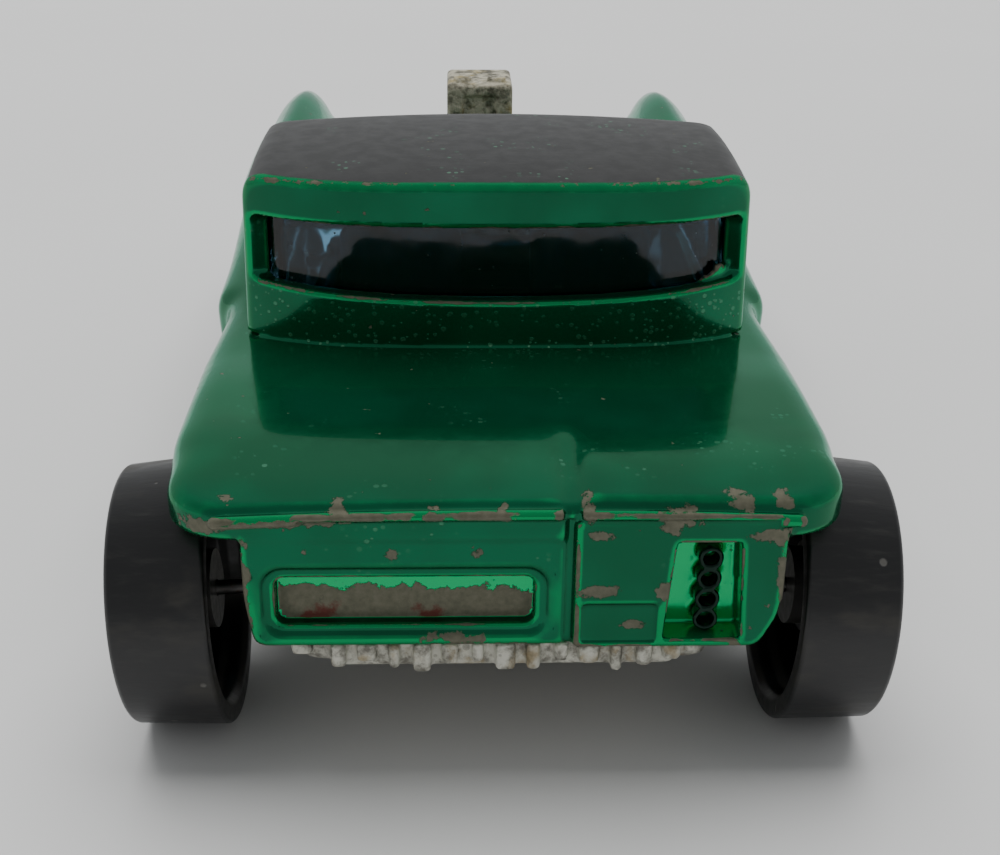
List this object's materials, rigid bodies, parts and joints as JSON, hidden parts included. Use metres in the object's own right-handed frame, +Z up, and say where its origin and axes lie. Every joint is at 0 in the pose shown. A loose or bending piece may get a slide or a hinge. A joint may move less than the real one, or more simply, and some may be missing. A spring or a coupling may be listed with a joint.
{
  "type": "die-cast collector car",
  "caption": "Die-cast collector car: tall cab on a low wide body, exposed engine, recessed tail light bar, stacked pipes and four sprung, free-rolling wheels on wire axles.",
  "frame": {"origin": "centre of the bounding box in X and Y, at ground level under the wheels", "axes": "+Y along the car to the nose, +Z up, +X to the car's right side"},
  "size_m": [0.0304, 0.0639, 0.0201],
  "materials": {
    "candy_green": "transparent green paint over polished zinc, satin black roof, worn edges",
    "bare_zinc": "as-cast zinc, dull, with pale oxide",
    "aged_zinc": "as-cast zinc, yellowed with age",
    "tray_plastic": "matt black moulding",
    "blue_clear": "clear moulded plastic, tinted dark blue",
    "spring_wire": "drawn steel wire",
    "black_plastic": "hard black moulding, semi-gloss, scuffed",
    "bearing_plastic": "waxy pale plastic",
    "plated_plastic": "vacuum-plated, lightly worn"
  },
  "bodies": {
    "chassis": {"body_casting": "candy_green", "base_plate": "bare_zinc", "engine_casting": "aged_zinc", "interior_tray": "tray_plastic", "window_insert": "blue_clear"},
    "arm_rl": {"wire_rl": "spring_wire"},
    "road_wheel_rl": {"wheel_rl": "black_plastic", "bearing_rl": "bearing_plastic", "hub_rl": "plated_plastic"},
    "arm_rr": {"wire_rr": "spring_wire"},
    "road_wheel_rr": {"wheel_rr": "black_plastic", "bearing_rr": "bearing_plastic", "hub_rr": "plated_plastic"},
    "arm_fl": {"wire_fl": "spring_wire"},
    "road_wheel_fl": {"wheel_fl": "black_plastic", "bearing_fl": "bearing_plastic", "hub_fl": "plated_plastic"},
    "arm_fr": {"wire_fr": "spring_wire"},
    "road_wheel_fr": {"wheel_fr": "black_plastic", "bearing_fr": "bearing_plastic", "hub_fr": "plated_plastic"}
  },
  "joints": [
    {"name": "spring_rl", "type": "hinge", "parent": "chassis", "child": "arm_rl", "pos_m": [-0.0093, -0.0197, 0.00555], "axis": [-1, 0, 0], "range_deg": [0, 3], "stiffness_Nm_per_rad": 0.002, "springref_deg": -24.06},
    {"name": "spin_rl", "type": "hinge", "parent": "arm_rl", "child": "road_wheel_rl", "pos_m": [-0.013, -0.0262, 0.00532], "axis": [0.9981, 0, 0.061], "continuous": true},
    {"name": "spring_rr", "type": "hinge", "parent": "chassis", "child": "arm_rr", "pos_m": [0.0093, -0.0197, 0.00555], "axis": [-1, 0, 0], "range_deg": [0, 3], "stiffness_Nm_per_rad": 0.002, "springref_deg": -24.06},
    {"name": "spin_rr", "type": "hinge", "parent": "arm_rr", "child": "road_wheel_rr", "pos_m": [0.013, -0.0262, 0.00532], "axis": [0.9981, 0, -0.061], "continuous": true},
    {"name": "spring_fl", "type": "hinge", "parent": "chassis", "child": "arm_fl", "pos_m": [-0.0093, 0.0103, 0.00495], "axis": [1, 0, 0], "range_deg": [0, 3], "stiffness_Nm_per_rad": 0.002, "springref_deg": -24.06},
    {"name": "spin_fl", "type": "hinge", "parent": "arm_fl", "child": "road_wheel_fl", "pos_m": [-0.0127, 0.0168, 0.00474], "axis": [0.9981, 0, 0.061], "continuous": true},
    {"name": "spring_fr", "type": "hinge", "parent": "chassis", "child": "arm_fr", "pos_m": [0.0093, 0.0103, 0.00495], "axis": [1, 0, 0], "range_deg": [0, 3], "stiffness_Nm_per_rad": 0.002, "springref_deg": -24.06},
    {"name": "spin_fr", "type": "hinge", "parent": "arm_fr", "child": "road_wheel_fr", "pos_m": [0.0127, 0.0168, 0.00474], "axis": [0.9981, 0, -0.061], "continuous": true}
  ]
}
